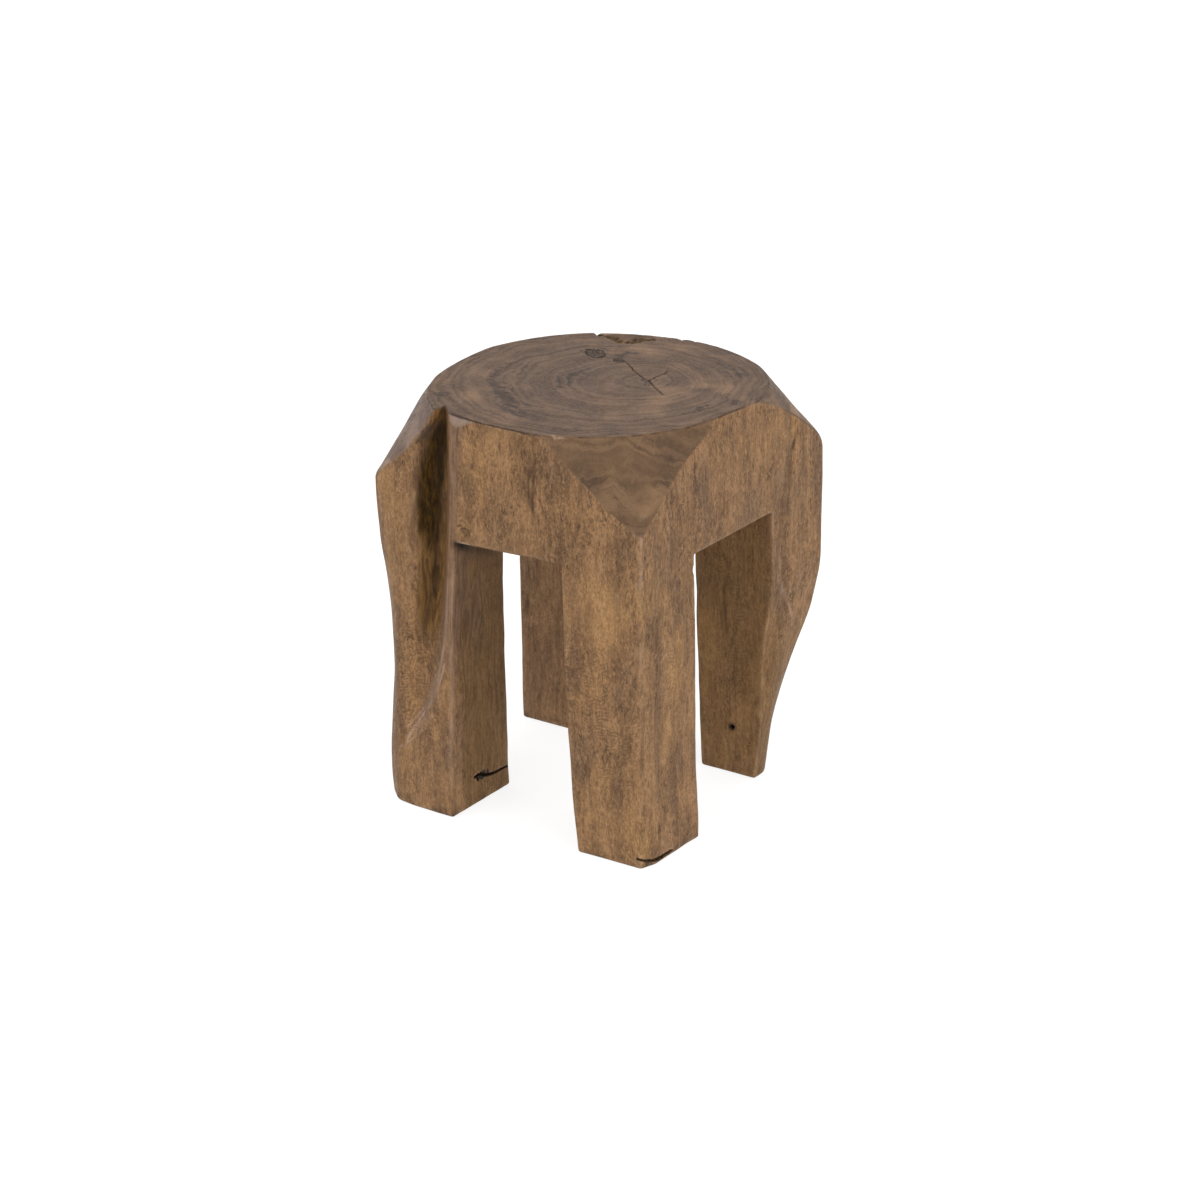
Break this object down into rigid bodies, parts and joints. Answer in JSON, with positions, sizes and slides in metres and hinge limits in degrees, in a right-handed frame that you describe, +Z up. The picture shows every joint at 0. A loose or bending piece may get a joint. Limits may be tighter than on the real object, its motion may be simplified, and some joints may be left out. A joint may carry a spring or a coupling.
{
  "type": "carved log stool",
  "caption": "One-log wooden stool with a round end-grain seat, four square legs cut by two crossing tunnels, faceted corners and a natural hollow down one leg.",
  "frame": {"origin": "middle of the outline seen from above, on the floor", "axes": "+Z up; -Y towards the face with the natural hollow, +X towards the face to its right"},
  "size_m": [0.3388, 0.3474, 0.45],
  "materials": {
    "solid_wood": "waxed satin, end grain on the seat, long grain on the sides",
    "wood_filler": "hard dark wood filler sanded flush",
    "glide_plastic": "dull brown nylon",
    "nail_steel": "bright drawn wire"
  },
  "bodies": {
    "root": {"carved_body": "solid_wood", "knot_filler": "wood_filler", "knot_filler_small": "wood_filler", "heart_check_filler": "wood_filler", "glide_front": "glide_plastic", "glide_right": "glide_plastic", "glide_back": "glide_plastic", "glide_left": "glide_plastic", "glide_nail_front": "nail_steel", "glide_nail_right": "nail_steel", "glide_nail_back": "nail_steel", "glide_nail_left": "nail_steel"}
  },
  "joints": []
}
